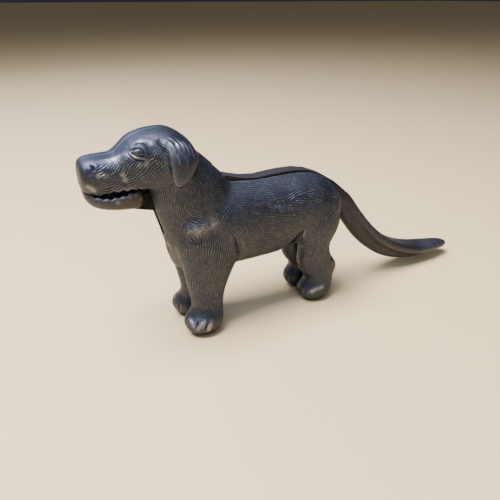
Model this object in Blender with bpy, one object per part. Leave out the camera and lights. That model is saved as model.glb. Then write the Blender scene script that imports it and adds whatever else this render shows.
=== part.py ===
"""Cast iron dog nutcracker: two mirrored body castings that close over one lever,
which is the lower jaw, the bar along the back and the tail in one piece.

The dog looks along -X and stands on Z = 0. The origin is under the middle of the whole length.
Run with: blender --background --python part.py
"""

import math

import bmesh
import bpy
import numpy as np
from mathutils import Vector

# Driving dimensions, in metres and degrees
OVERALL_LENGTH = 0.280  # nose tip to tail tip
LEVER_THICKNESS = 0.009  # bar of the lever, between the two halves
LEVER_CLEARANCE = 0.0006  # each side of the bar, and round its edges
SEAM_GAP = 0.0003  # between the two halves
PIVOT_RADIUS = 0.0040  # round trunnions cast on the lever
PIVOT_CLEARANCE = 0.0001  # trunnion in its socket, on the radius
TRUNNION_LENGTH = 0.0070  # out of each side of the bar
SOCKET_END_GAP = 0.0005  # beyond the end of each trunnion
TAIL_LIFT = 30.0  # how far the lever turns, mouth shut to mouth open
TAIL_LIFT_MARGIN = 2.5  # the slot is cut this much further
TOOTH_PITCH = 0.0042
TOOTH_DEPTH = 0.0011
VOXEL = 0.0013  # grain of the blended forms
HALF_TRIANGLES = 3380  # each body half, before the cuts
LEVER_TRIANGLES = 1100  # jaw and tail, before they join the bar

# Carving is written in shares of the length: x from about the nose tip, y to the dog's right, z up
NOSE_TIP = -1.1
TAIL_TIP = 278.25
UNIT = OVERALL_LENGTH / (TAIL_TIP - NOSE_TIP)
PIVOT = (63.9, 88.0)  # x, z

# x, z, half height, half width
TORSO = [
    (43.0, 61.0, 8.0, 8.0),
    (45.5, 62.5, 17.0, 13.5),
    (51.0, 66.0, 22.5, 18.0),
    (59.0, 68.5, 26.5, 20.8),
    (70.0, 68.7, 28.0, 22.0),
    (84.0, 67.5, 27.2, 22.0),
    (100.0, 66.9, 26.5, 21.3),
    (114.0, 67.3, 26.2, 21.0),
    (129.0, 69.0, 24.2, 21.6),
    (141.0, 69.4, 21.6, 21.6),
    (151.0, 67.6, 18.0, 19.2),
    (157.0, 65.2, 13.2, 15.0),
    (160.5, 63.4, 6.2, 8.0),
]
HEAD = [
    (-1.1, 107.6, 4.6, 6.5),
    (0.3, 108.0, 8.4, 9.8),
    (4.2, 108.6, 10.0, 11.4),
    (11.0, 108.6, 10.0, 12.0),
    (17.1, 108.8, 10.0, 12.6),
    (21.1, 110.6, 11.8, 13.6),
    (26.2, 112.5, 14.2, 15.2),
    (33.2, 113.4, 15.6, 16.6),
    (40.2, 113.2, 16.2, 17.3),
    (47.2, 112.5, 16.2, 17.3),
    (53.1, 111.2, 14.6, 16.2),
    (58.6, 109.2, 11.6, 13.8),
    (61.9, 107.6, 7.2, 9.6),
]
# x, z, half depth, half width, up a neck that leans forward
NECK = [
    (64.0, 70.0, 24.4, 20.3),
    (62.5, 77.8, 24.4, 20.0),
    (57.4, 90.6, 22.9, 18.6),
    (51.2, 103.0, 18.6, 17.0),
    (47.2, 111.0, 14.8, 15.6),
]
NECK_LEAN = 111.0
# x, y, z, half length, half width, down to below the sole, which is cut flat
FRONT_LEG = [
    (62.5, 11.5, 80.0, 14.0, 7.0),
    (62.5, 12.6, 72.0, 17.5, 8.8),
    (63.0, 12.6, 60.0, 19.0, 9.8),
    (64.2, 11.9, 48.0, 17.0, 9.8),
    (63.4, 10.6, 38.0, 14.4, 9.0),
    (62.6, 9.8, 28.0, 11.6, 8.5),
    (62.2, 10.0, 20.0, 10.2, 8.4),
    (60.8, 11.2, 14.8, 10.8, 9.2),
    (58.9, 12.1, 11.0, 12.4, 10.6),
    (58.2, 12.3, 7.0, 12.3, 10.6),
    (58.2, 12.3, 3.6, 10.5, 8.9),
    (58.2, 12.3, 1.4, 8.0, 6.6),
    (58.2, 12.3, -0.8, 4.5, 3.6),
]
HIND_LEG = [
    (139.0, 11.0, 82.0, 12.0, 6.0),
    (139.6, 12.2, 74.0, 17.0, 8.8),
    (141.0, 13.0, 63.0, 17.0, 9.6),
    (140.4, 12.6, 51.0, 13.6, 9.6),
    (139.8, 11.8, 41.0, 11.6, 9.0),
    (141.2, 11.3, 33.5, 11.4, 8.7),
    (145.6, 10.8, 25.5, 12.6, 8.3),
    (146.4, 10.4, 19.0, 10.2, 8.2),
    (144.6, 10.2, 14.0, 11.4, 9.0),
    (143.1, 10.2, 10.5, 12.4, 9.8),
    (142.9, 10.2, 7.0, 12.2, 9.6),
    (142.9, 10.2, 3.6, 10.4, 8.2),
    (142.9, 10.2, 1.4, 8.0, 6.2),
    (142.9, 10.2, -0.8, 4.5, 3.4),
]
EAR = [
    (46.0, 8.0, 125.0, 4.0, 2.5),
    (47.6, 12.8, 122.2, 8.2, 3.8),
    (49.5, 16.8, 116.0, 9.2, 3.8),
    (49.3, 18.4, 109.7, 7.6, 3.4),
    (48.0, 18.6, 104.6, 5.2, 2.8),
    (47.1, 18.2, 101.0, 2.6, 2.0),
]
# x, y, z and three half sizes: muscles and the ball of the eye
SWELLINGS = [
    (57.4, 17.4, 75.0, 7.6, 5.0, 5.2),
    (28.8, 11.0, 120.4, 5.4, 4.2, 4.0),
    (148.0, 11.5, 69.5, 11.0, 10.5, 13.0),
]
JAW = [
    (0.2, 99.4, 0.9, 3.4),
    (1.6, 97.8, 2.4, 6.6),
    (4.7, 95.8, 3.1, 8.8),
    (8.6, 94.0, 3.6, 10.0),
    (14.7, 92.9, 4.2, 10.8),
    (20.7, 92.5, 4.6, 11.0),
    (25.8, 92.5, 5.1, 10.8),
    (28.7, 92.2, 4.6, 9.6),
    (29.9, 91.8, 2.6, 7.0),
]
# x, z, half depth, half width, along the tail
TAIL_KEEL = [
    (159.8, 72.3, 4.6, 3.6),
    (168.6, 63.9, 7.4, 4.6),
    (177.9, 51.3, 7.6, 5.4),
    (188.1, 38.6, 7.4, 5.8),
    (198.3, 28.8, 7.0, 5.8),
    (210.5, 19.9, 6.6, 5.8),
    (224.6, 13.6, 6.2, 5.6),
    (240.6, 9.8, 5.6, 5.2),
    (257.0, 8.8, 4.6, 4.4),
    (268.6, 9.0, 3.0, 3.2),
]
TAIL_PAD = [
    (170.6, 67.4, 2.0, 4.6),
    (179.6, 56.0, 2.3, 5.6),
    (189.6, 43.9, 2.5, 6.6),
    (200.0, 34.0, 2.6, 7.5),
    (211.4, 26.0, 2.6, 8.4),
    (224.5, 19.2, 2.6, 9.0),
    (240.0, 14.0, 2.6, 9.2),
    (255.5, 11.2, 2.6, 8.8),
    (266.8, 9.9, 2.6, 7.4),
    (274.2, 9.2, 2.4, 5.2),
    (278.4, 8.8, 1.6, 2.4),
]
# side outline of the bar: under the jaw, round the hub, along the back and into the tail
BAR_LOWER = [
    (22.0, 88.2),
    (32.0, 85.5),
    (42.0, 82.7),
    (54.0, 79.4),
    (74.0, 79.0),
    (99.0, 79.0),
    (125.0, 80.0),
    (140.0, 77.9),
    (150.0, 72.4),
    (158.0, 65.7),
    (166.0, 58.2),
]
BAR_UPPER = [
    (174.2, 62.6),
    (165.2, 74.2),
    (156.4, 81.4),
    (147.0, 87.4),
    (137.4, 91.6),
    (127.9, 93.8),
    (118.2, 94.7),
    (109.4, 94.3),
    (100.8, 93.7),
    (92.0, 94.6),
    (84.2, 96.6),
    (79.5, 98.2),
    (72.3, 97.0),
    (60.3, 95.8),
    (40.2, 96.0),
    (24.1, 94.4),
]
# side outline of the open mouth, whose roof carries the upper teeth
MOUTH_ROOF = (101.4, 2.6, 30.0)  # z, first tooth, last tooth
MOUTH_BACK = [(31.9, 99.8), (33.4, 96.6), (32.9, 91.6), (34.6, 86.0)]
MOUTH_FRONT = [(20.0, 82.0), (-6.0, 82.0), (-6.0, 101.4)]
JAW_TOP = (96.8, 4.5, 28.5)  # z, first tooth, last tooth


def clear_scene():
    for old in list(bpy.data.objects):
        bpy.data.objects.remove(old, do_unlink=True)


def place(x, y, z):
    """Carving coordinates to metres in the part's frame."""
    return Vector(((x - NOSE_TIP) * UNIT - OVERALL_LENGTH / 2, y * UNIT, z * UNIT))


def material(name, colour, roughness):
    made = bpy.data.materials.new(name)
    made.use_nodes = True
    shader = made.node_tree.nodes["Principled BSDF"]
    shader.inputs["Base Color"].default_value = (*colour, 1.0)
    shader.inputs["Metallic"].default_value = 0.85
    shader.inputs["Roughness"].default_value = roughness
    return made


def smooth_rows(rows, steps=4):
    """Catmull-Rom curve through the rows, with steps rows for each span."""
    rows = np.array(rows, float)
    before = np.vstack([2 * rows[0] - rows[1], rows, 2 * rows[-1] - rows[-2]])
    result = []
    for i in range(len(rows) - 1):
        a, b, c, d = before[i : i + 4]
        for t in np.arange(steps) / steps:
            result.append(
                0.5 * (2 * b + (c - a) * t + (2 * a - 5 * b + 4 * c - d) * t * t + (3 * b - a - 3 * c + d) * t**3)
            )
    return np.array(result + [rows[-1]])


def ring(bm, centre, lean, half_up, half_width, power, sides):
    """A superellipse round centre, square to a path that rises by lean degrees from +X."""
    angle = math.radians(lean)
    up = Vector((-math.sin(angle), 0.0, math.cos(angle)))
    side = Vector((0.0, 1.0, 0.0))
    verts = []
    for turn in np.arange(sides) * 2 * math.pi / sides:
        c, s = math.cos(turn), math.sin(turn)
        across = math.copysign(abs(c) ** (2 / power), c) * half_width * UNIT
        rise = math.copysign(abs(s) ** (2 / power), s) * half_up * UNIT
        verts.append(bm.verts.new(centre + side * across + up * rise))
    return verts


def skin(bm, rings):
    """Closes a row of rings into one tube with filled ends."""
    for near, far in zip(rings, rings[1:]):
        for i in range(len(near)):
            j = (i + 1) % len(near)
            bm.faces.new((near[i], near[j], far[j], far[i]))
    bm.faces.new(rings[0][::-1])
    bm.faces.new(rings[-1])


def loft(bm, rows, lean=None, power=2.2, sides=28):
    """A tube through rows of x, y, z, half up, half width. With no lean it follows its path."""
    rows = smooth_rows(rows)
    path = np.gradient(rows[:, (0, 2)], axis=0)
    rings = []
    for (x, y, z, up, width), (dx, dz) in zip(rows, path):
        angle = math.degrees(math.atan2(dz, dx)) if lean is None else lean
        rings.append(ring(bm, place(x, y, z), angle, max(up, 0.3), max(width, 0.3), power, sides))
    skin(bm, rings)


def on_middle(rows):
    """Rows of x, z, up, width as rows that lie on the middle plane."""
    return [(x, 0.0, z, up, width) for x, z, up, width in rows]


def on_side(rows, side):
    return [(x, y * side, z, up, width) for x, y, z, up, width in rows]


def ball(bm, x, y, z, *half_sizes):
    made = bmesh.ops.create_uvsphere(bm, u_segments=20, v_segments=12, radius=UNIT)
    bmesh.ops.scale(bm, verts=made["verts"], vec=half_sizes)
    bmesh.ops.translate(bm, verts=made["verts"], vec=place(x, y, z))


def add_object(name, bm, finish=None):
    bmesh.ops.recalc_face_normals(bm, faces=bm.faces[:])
    mesh = bpy.data.meshes.new(name)
    bm.to_mesh(mesh)
    bm.free()
    made = bpy.data.objects.new(name, mesh)
    bpy.context.scene.collection.objects.link(made)
    if finish:
        mesh.materials.append(finish)
    return made


def freeze(thing):
    """Replaces a thing's mesh by what its modifiers make of it."""
    graph = bpy.context.evaluated_depsgraph_get()
    mesh = bpy.data.meshes.new_from_object(thing.evaluated_get(graph))
    thing.modifiers.clear()
    thing.data = mesh


def melt(thing, rounds, triangles):
    """Runs overlapping shells together as one casting, softens the joins and thins the mesh."""
    blend = thing.modifiers.new("blend", "REMESH")
    blend.mode = "VOXEL"
    blend.voxel_size = VOXEL
    soften = thing.modifiers.new("soften", "SMOOTH")
    soften.factor = 0.5
    soften.iterations = rounds
    freeze(thing)
    count = sum(len(face.vertices) - 2 for face in thing.data.polygons)
    thin = thing.modifiers.new("thin", "DECIMATE")
    thin.ratio = min(1.0, triangles / count)
    freeze(thing)


def hide_cutter(cutter):
    cutter.hide_render = True
    cutter.display_type = "WIRE"


def cut(thing, cutter, operation="DIFFERENCE"):
    change = thing.modifiers.new(cutter.name, "BOOLEAN")
    change.object = cutter
    change.operation = operation
    hide_cutter(cutter)


def plate(name, outline, half_thickness):
    """A side outline of x, z points, extruded both ways from the middle plane."""
    bm = bmesh.new()
    lower = [bm.verts.new(place(x, 0, z) - Vector((0, half_thickness, 0))) for x, z in outline]
    face = bm.faces.new(lower)
    made = bmesh.ops.extrude_face_region(bm, geom=[face])
    moved = [v for v in made["geom"] if isinstance(v, bmesh.types.BMVert)]
    bmesh.ops.translate(bm, verts=moved, vec=(0, 2 * half_thickness, 0))
    return add_object(name, bm)


def rod(name, x, z, radius, half_length, sides=32):
    """A round bar across the dog, centred on the middle plane."""
    outline = [
        (x + radius / UNIT * math.cos(t), z + radius / UNIT * math.sin(t))
        for t in np.arange(sides) * 2 * math.pi / sides
    ]
    return plate(name, outline, half_length)


def block(name, low, high):
    bm = bmesh.new()
    bmesh.ops.create_cube(bm, size=1.0)
    size, middle = Vector(high) - Vector(low), (Vector(high) + Vector(low)) / 2
    for vert in bm.verts:
        vert.co = Vector(a * b for a, b in zip(vert.co, size)) + middle
    return add_object(name, bm)


def teeth(z, first, last, depth):
    """A saw edge from first to last at height z; its points stand depth towards the other jaw."""
    pitch = TOOTH_PITCH / UNIT
    count = max(2, int((last - first) / pitch))
    step = (last - first) / count
    edge = []
    for i in range(count):
        edge += [(first + i * step, z), (first + (i + 0.5) * step, z + depth / UNIT)]
    return edge + [(last, z)]


def turned(point, degrees):
    """A point of the lever after its tail has been lifted by degrees."""
    a = math.radians(degrees)
    x, z = point[0] - PIVOT[0], point[1] - PIVOT[1]
    return (PIVOT[0] + x * math.cos(a) - z * math.sin(a), PIVOT[1] + x * math.sin(a) + z * math.cos(a))


def body_form():
    """The whole dog without its lower jaw and tail."""
    bm = bmesh.new()
    loft(bm, on_middle(TORSO), lean=0)
    loft(bm, on_middle(HEAD), lean=0, power=2.5)
    loft(bm, on_middle(NECK), lean=NECK_LEAN)
    for side in (-1, 1):
        loft(bm, on_side(FRONT_LEG, side), lean=-90)
        loft(bm, on_side(HIND_LEG, side), lean=-90)
        loft(bm, on_side(EAR, side), lean=-90)
        for x, y, z, *half_sizes in SWELLINGS:
            ball(bm, x, y * side, z, *half_sizes)
    form = add_object("form", bm)
    melt(form, 7, 2 * HALF_TRIANGLES)
    return form


def slot_outline():
    """The room that the lever needs between the halves, from mouth shut to mouth open."""
    gap = LEVER_CLEARANCE / UNIT
    far = TAIL_LIFT + TAIL_LIFT_MARGIN
    floor = [(x, z - gap) for x, z in BAR_LOWER[4:]]
    floor[-1] = (200.0, 26.0)
    hub = [turned((x, z + 2 * gap), far) for x, z in BAR_UPPER[12:10:-1]]
    throat = [turned((x, z - gap), far) for x, z in BAR_LOWER[3:0:-1]]
    roof = [(24.0, 96.0 + gap), (60.0, 96.0 + gap)] + hub + [turned((130.0, 110.0), far)]
    back = [(240.0, 160.0), (260.0, 60.0)]
    return roof + back + floor[::-1] + throat + [turned((8.0, 92.0), far), (14.0, 84.0)]


def mouth_outline():
    z, first, last = MOUTH_ROOF
    return teeth(z, first, last, TOOTH_DEPTH) + MOUTH_BACK + MOUTH_FRONT


def make_halves(finish):
    left = body_form()
    left.name = "body_left"
    left.data.materials.append(finish)
    big = OVERALL_LENGTH
    cut(left, block("half_space", (-big, -big, 0.0), (big, -SEAM_GAP / 2, big)), "INTERSECT")
    slot_half = LEVER_THICKNESS / 2 + LEVER_CLEARANCE
    cut(left, plate("lever_slot", slot_outline(), slot_half))
    cut(left, plate("mouth", mouth_outline(), big / 4))
    reach = slot_half + TRUNNION_LENGTH + SOCKET_END_GAP - LEVER_CLEARANCE
    cut(left, rod("socket", *PIVOT, PIVOT_RADIUS + PIVOT_CLEARANCE, reach))
    freeze(left)
    right = left.copy()
    right.data = left.data.copy()
    right.name = "body_right"
    bpy.context.scene.collection.objects.link(right)
    for vert in right.data.vertices:
        vert.co.y = -vert.co.y
    right.data.flip_normals()


def make_lever(finish):
    bm = bmesh.new()
    loft(bm, on_middle(JAW), lean=0, power=2.5)
    loft(bm, on_middle(TAIL_KEEL), power=2.4)
    loft(bm, on_middle(TAIL_PAD), power=3.0)
    lever = add_object("jaw_and_tail_lever", bm, finish)
    melt(lever, 3, LEVER_TRIANGLES)
    lever.data.materials.clear()
    lever.data.materials.append(finish)
    z, first, last = JAW_TOP
    cut(lever, plate("jaw_teeth", teeth(z, first, last, -TOOTH_DEPTH) + [(last, 95.0), (first, 95.0)], 0.02))
    cut(lever, plate("bar", BAR_LOWER + BAR_UPPER, LEVER_THICKNESS / 2), "UNION")
    cut(lever, rod("trunnions", *PIVOT, PIVOT_RADIUS, LEVER_THICKNESS / 2 + TRUNNION_LENGTH), "UNION")
    freeze(lever)
    axis = place(PIVOT[0], 0.0, PIVOT[1])
    for vert in lever.data.vertices:
        vert.co -= axis
    lever.location = axis


def main():
    clear_scene()
    iron = material("bronzed_cast_iron", (0.075, 0.066, 0.060), 0.45)
    lever_iron = material("worn_lever_iron", (0.070, 0.064, 0.062), 0.5)
    make_halves(iron)
    make_lever(lever_iron)


main()
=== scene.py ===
import math
import time

import bmesh
import bpy
import numpy as np
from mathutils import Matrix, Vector
from mathutils.bvhtree import BVHTree
from mathutils.kdtree import KDTree


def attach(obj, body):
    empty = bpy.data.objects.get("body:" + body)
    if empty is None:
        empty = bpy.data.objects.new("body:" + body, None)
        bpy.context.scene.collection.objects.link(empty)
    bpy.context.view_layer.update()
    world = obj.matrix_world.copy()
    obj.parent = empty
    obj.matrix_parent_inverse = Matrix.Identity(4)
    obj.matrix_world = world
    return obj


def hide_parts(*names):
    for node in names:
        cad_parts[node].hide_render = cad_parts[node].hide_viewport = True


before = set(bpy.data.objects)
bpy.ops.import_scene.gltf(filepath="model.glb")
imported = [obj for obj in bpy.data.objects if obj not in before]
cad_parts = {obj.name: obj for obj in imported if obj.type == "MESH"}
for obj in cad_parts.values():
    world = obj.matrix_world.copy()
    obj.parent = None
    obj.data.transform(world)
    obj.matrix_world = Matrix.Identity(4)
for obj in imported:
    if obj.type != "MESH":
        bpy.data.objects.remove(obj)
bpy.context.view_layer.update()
startTime = time.time()

# The dog is carved in millimetres: x back from the nose tip, y to its right, z up.
# It is modelled in those units and set into the frame at the end.
carving = {
    "length": 280.0,  # nose tip to tail tip, mm
    "noseTip": -1.1,
    "tailTip": 278.25,
    "pivot": (63.9, 88.0),  # x, z of the hinge
    "seamGap": 0.3,
    "barThickness": 9.0,
    "barClearance": 0.6,
    "trunnion": (4.0, 7.0),  # radius, length out of each side of the bar
    "socketGap": (0.1, 0.5),  # round each trunnion, and past its end
    "widest": 22.86,  # nothing stands out past the paws
    "clear": 400.0,  # further off than any part of the dog
}
unit = carving["length"] / (carving["tailTip"] - carving["noseTip"])


def toFrame(points):
    moved = (points - (carving["noseTip"], 0, 0)) * unit - (carving["length"] / 2, 0, 0)
    return moved / 1000


def report(words):
    print(f"{time.time() - startTime:6.1f} s  {words}", flush=True)


def smoothRows(rows, steps=4):
    # Catmull-Rom curve through the rows
    rows = np.array(rows, float)
    padded = np.vstack([2 * rows[0] - rows[1], rows, 2 * rows[-1] - rows[-2]])
    result = []
    for i in range(len(rows) - 1):
        a, b, c, d = padded[i : i + 4]
        for t in np.arange(steps) / steps:
            square, cube = (2 * a - 5 * b + 4 * c - d) * t * t, (3 * b - a - 3 * c + d) * t**3
            result.append(0.5 * (2 * b + (c - a) * t + square + cube))
    return np.array(result + [rows[-1]])


def addLoft(bm, rows, lean=None, power=2.2, sides=40):
    # a closed tube through rows of x, y, z, half up, half width; with no lean it follows its path
    rows = smoothRows(rows)
    path = np.gradient(rows[:, (0, 2)], axis=0)
    turns = np.arange(sides) * 2 * math.pi / sides
    across = np.sign(np.cos(turns)) * abs(np.cos(turns)) ** (2 / power)
    rise = np.sign(np.sin(turns)) * abs(np.sin(turns)) ** (2 / power)
    rings = []
    for (x, y, z, up, width), (dx, dz) in zip(rows, path):
        angle = math.atan2(dz, dx) if lean is None else math.radians(lean)
        up, width = max(up, 0.3), max(width, 0.3)
        ring = []
        for a, r in zip(across, rise):
            place = (x - math.sin(angle) * up * r, y + width * a, z + math.cos(angle) * up * r)
            ring.append(bm.verts.new(place))
        rings.append(ring)
    for near, far in zip(rings, rings[1:]):
        for i in range(sides):
            j = (i + 1) % sides
            bm.faces.new((near[i], near[j], far[j], far[i]))
    bm.faces.new(rings[0][::-1])
    bm.faces.new(rings[-1])


def addBall(bm, x, y, z, *halfSizes):
    made = bmesh.ops.create_uvsphere(bm, u_segments=28, v_segments=18, radius=1)
    bmesh.ops.scale(bm, verts=made["verts"], vec=halfSizes)
    bmesh.ops.translate(bm, verts=made["verts"], vec=(x, y, z))


def onMiddle(rows):
    return [(x, 0.0, z, up, width) for x, z, up, width in rows]


def onSide(rows, side):
    return [(x, y * side, z, up, width) for x, y, z, up, width in rows]


def meshObject(name, bm):
    bmesh.ops.recalc_face_normals(bm, faces=bm.faces[:])
    mesh = bpy.data.meshes.new(name)
    bm.to_mesh(mesh)
    bm.free()
    made = bpy.data.objects.new(name, mesh)
    bpy.context.scene.collection.objects.link(made)
    return made


def freeze(thing):
    # the mesh becomes what the modifiers make of it
    graph = bpy.context.evaluated_depsgraph_get()
    mesh = bpy.data.meshes.new_from_object(thing.evaluated_get(graph))
    thing.modifiers.clear()
    old = thing.data
    thing.data = mesh
    bpy.data.meshes.remove(old)


def runTogether(thing, voxel, rounds):
    # overlapping shells become one casting with soft joins
    blend = thing.modifiers.new("blend", "REMESH")
    blend.mode = "VOXEL"
    blend.voxel_size = voxel
    soften = thing.modifiers.new("soften", "SMOOTH")
    soften.factor = 0.5
    soften.iterations = rounds
    freeze(thing)


def cutBy(thing, cutter, operation="DIFFERENCE"):
    change = thing.modifiers.new(cutter.name, "BOOLEAN")
    change.object = cutter
    change.operation = operation
    change.solver = "EXACT"
    freeze(thing)
    bpy.data.objects.remove(cutter)


def plate(name, outline, halfThickness):
    # a side outline of x, z points, extruded both ways from the middle plane
    bm = bmesh.new()
    face = bm.faces.new([bm.verts.new((x, -halfThickness, z)) for x, z in outline])
    made = bmesh.ops.extrude_face_region(bm, geom=[face])
    moved = [v for v in made["geom"] if isinstance(v, bmesh.types.BMVert)]
    bmesh.ops.translate(bm, verts=moved, vec=(0, 2 * halfThickness, 0))
    return meshObject(name, bm)


def rod(name, x, z, radius, halfLength, sides=48):
    turns = np.arange(sides) * 2 * math.pi / sides
    outline = [(x + radius * math.cos(t), z + radius * math.sin(t)) for t in turns]
    return plate(name, outline, halfLength)


def block(name, low, high):
    bm = bmesh.new()
    bmesh.ops.create_cube(bm, size=1.0)
    size, middle = Vector(high) - Vector(low), (Vector(high) + Vector(low)) / 2
    for vert in bm.verts:
        vert.co = Vector(a * b for a, b in zip(vert.co, size)) + middle
    return meshObject(name, bm)


def getPoints(mesh):
    flat = np.empty(len(mesh.vertices) * 3)
    mesh.vertices.foreach_get("co", flat)
    return flat.reshape(-1, 3)


def setPoints(mesh, points):
    mesh.vertices.foreach_set("co", np.ascontiguousarray(points, np.float32).ravel())
    mesh.update()


def getNormals(mesh):
    flat = np.empty(len(mesh.vertices) * 3, np.float32)
    mesh.vertex_normals.foreach_get("vector", flat)
    return flat.reshape(-1, 3).astype(float)


def getEdges(mesh):
    flat = np.empty(len(mesh.edges) * 2, np.int32)
    mesh.edges.foreach_get("vertices", flat)
    return flat.reshape(-1, 2)


def relax(values, edges, rounds, weight=None, factor=0.5):
    # each value moves towards the mean of its neighbours
    count = np.bincount(edges.ravel(), minlength=len(values)).clip(1)
    flat = values.reshape(len(values), -1).copy()
    weight = np.ones(len(values)) if weight is None else weight
    for _ in range(rounds):
        for k in range(flat.shape[1]):
            total = np.bincount(edges[:, 0], flat[edges[:, 1], k], len(values))
            total += np.bincount(edges[:, 1], flat[edges[:, 0], k], len(values))
            flat[:, k] += factor * weight * (total / count - flat[:, k])
    return flat.reshape(values.shape)


def setAttribute(mesh, name, values):
    made = mesh.attributes.new(name, "FLOAT", "POINT")
    made.data.foreach_set("value", np.ascontiguousarray(values, np.float32))


def getAttribute(mesh, name):
    values = np.empty(len(mesh.vertices), np.float32)
    mesh.attributes[name].data.foreach_get("value", values)
    return values.astype(float)


def countTriangles(mesh):
    return sum(len(p.vertices) - 2 for p in mesh.polygons)


dogForm = {
    "voxel": 1.08,
    "softRounds": 10,
    # x, z, half height, half width
    "torso": [
        (43.0, 61.0, 8.0, 8.0),
        (45.5, 62.5, 17.0, 13.5),
        (51.0, 66.0, 22.5, 18.0),
        (59.0, 68.5, 26.5, 20.8),
        (70.0, 68.7, 28.0, 22.0),
        (84.0, 67.5, 27.2, 22.0),
        (100.0, 66.9, 26.5, 21.3),
        (114.0, 67.3, 26.2, 21.0),
        (129.0, 69.0, 24.2, 21.6),
        (141.0, 69.4, 21.6, 21.6),
        (151.0, 67.6, 18.0, 19.2),
        (157.0, 65.2, 13.2, 15.0),
        (160.5, 63.4, 6.2, 8.0),
    ],
    "head": [
        (-1.0, 108.0, 5.2, 6.4),
        (-0.4, 108.2, 7.6, 8.8),
        (1.4, 108.4, 9.1, 10.5),
        (5.0, 108.6, 9.9, 11.4),
        (11.0, 108.6, 10.0, 12.0),
        (17.1, 108.8, 9.9, 12.4),
        (21.1, 110.3, 11.5, 13.0),
        (26.2, 112.1, 13.8, 14.4),
        (33.2, 113.1, 15.4, 15.9),
        (40.2, 113.1, 16.2, 16.9),
        (47.2, 112.6, 16.4, 17.1),
        (53.1, 111.4, 14.9, 16.1),
        (58.6, 109.4, 11.9, 13.8),
        (61.9, 107.8, 7.4, 9.8),
    ],
    "headPower": 2.7,
    "neckLean": 111.0,
    # x, z, half depth, half width
    "neck": [
        (64.0, 70.0, 24.4, 20.3),
        (62.5, 77.8, 24.4, 20.0),
        (57.4, 90.6, 22.9, 18.6),
        (51.2, 103.0, 18.6, 17.0),
        (47.2, 111.0, 14.8, 15.6),
    ],
    # x, y, z, half length, half width, down to the sole
    "frontLeg": [
        (62.5, 11.5, 80.0, 14.0, 7.0),
        (62.5, 12.6, 72.0, 17.5, 8.8),
        (63.0, 12.6, 60.0, 19.0, 9.8),
        (64.2, 11.9, 48.0, 17.0, 9.8),
        (63.4, 10.6, 38.0, 14.4, 9.0),
        (62.6, 9.8, 28.0, 11.6, 8.5),
        (62.2, 10.0, 20.0, 10.2, 8.4),
        (60.8, 11.2, 14.8, 10.8, 9.2),
        (58.9, 12.1, 11.0, 12.4, 10.6),
        (58.2, 12.3, 7.0, 12.3, 10.6),
        (58.2, 12.3, 3.6, 10.5, 8.9),
        (58.2, 12.3, 1.4, 8.0, 6.6),
        (58.2, 12.3, -0.8, 4.5, 3.6),
    ],
    "hindLeg": [
        (139.0, 11.0, 82.0, 12.0, 6.0),
        (139.6, 12.2, 74.0, 17.0, 8.8),
        (141.0, 13.0, 63.0, 17.0, 9.6),
        (140.4, 12.6, 51.0, 13.6, 9.6),
        (139.8, 11.8, 41.0, 11.6, 9.0),
        (140.3, 11.3, 33.5, 12.5, 8.9),
        (144.1, 10.8, 25.5, 14.1, 8.8),
        (145.7, 10.4, 19.0, 10.9, 8.6),
        (144.6, 10.2, 14.0, 11.4, 9.0),
        (143.1, 10.2, 10.5, 12.4, 9.8),
        (142.9, 10.2, 7.0, 12.2, 9.6),
        (142.9, 10.2, 3.6, 10.4, 8.2),
        (142.9, 10.2, 1.4, 8.0, 6.2),
        (142.9, 10.2, -0.8, 4.5, 3.4),
    ],
    "ear": [
        (46.0, 8.0, 125.0, 4.0, 2.5),
        (47.6, 12.8, 122.2, 8.2, 3.8),
        (49.5, 16.8, 116.0, 9.2, 3.8),
        (49.3, 18.4, 109.7, 7.6, 3.4),
        (48.0, 18.6, 104.6, 5.2, 2.8),
        (47.1, 18.2, 101.0, 2.6, 2.0),
    ],
    # shoulder point, brow, lips and rump: x, y, z and three half sizes
    "swellings": [
        (57.0, 16.2, 75.0, 10.4, 5.2, 6.6),
        (30.0, 10.6, 119.6, 6.0, 4.6, 4.4),
        (9.5, 6.9, 103.6, 8.6, 3.8, 5.3),
        (21.0, 8.6, 103.8, 11.0, 4.0, 5.0),
        (148.0, 11.5, 69.5, 11.0, 10.5, 13.0),
    ],
}

# side outlines of the lever's bar and of the room it swings in
barForm = {
    "lower": [
        (22.0, 88.2),
        (32.0, 85.5),
        (42.0, 82.7),
        (54.0, 79.4),
        (74.0, 79.0),
        (99.0, 79.0),
        (125.0, 80.0),
        (140.0, 77.9),
        (150.0, 72.4),
        (158.0, 65.7),
        (166.0, 58.2),
    ],
    "upper": [
        (174.8, 63.0), (166.0, 74.9), (157.1, 82.4), (147.5, 88.4), (137.6, 92.5),
        (128.0, 94.4), (118.2, 94.7), (109.4, 94.3), (100.8, 93.7), (92.0, 94.6),
        (84.2, 96.6), (79.5, 98.2), (72.3, 97.0), (60.3, 95.8), (40.2, 96.0), (24.1, 94.4),
    ],
    "slotSwing": 32.5,  # degrees
}

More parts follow.
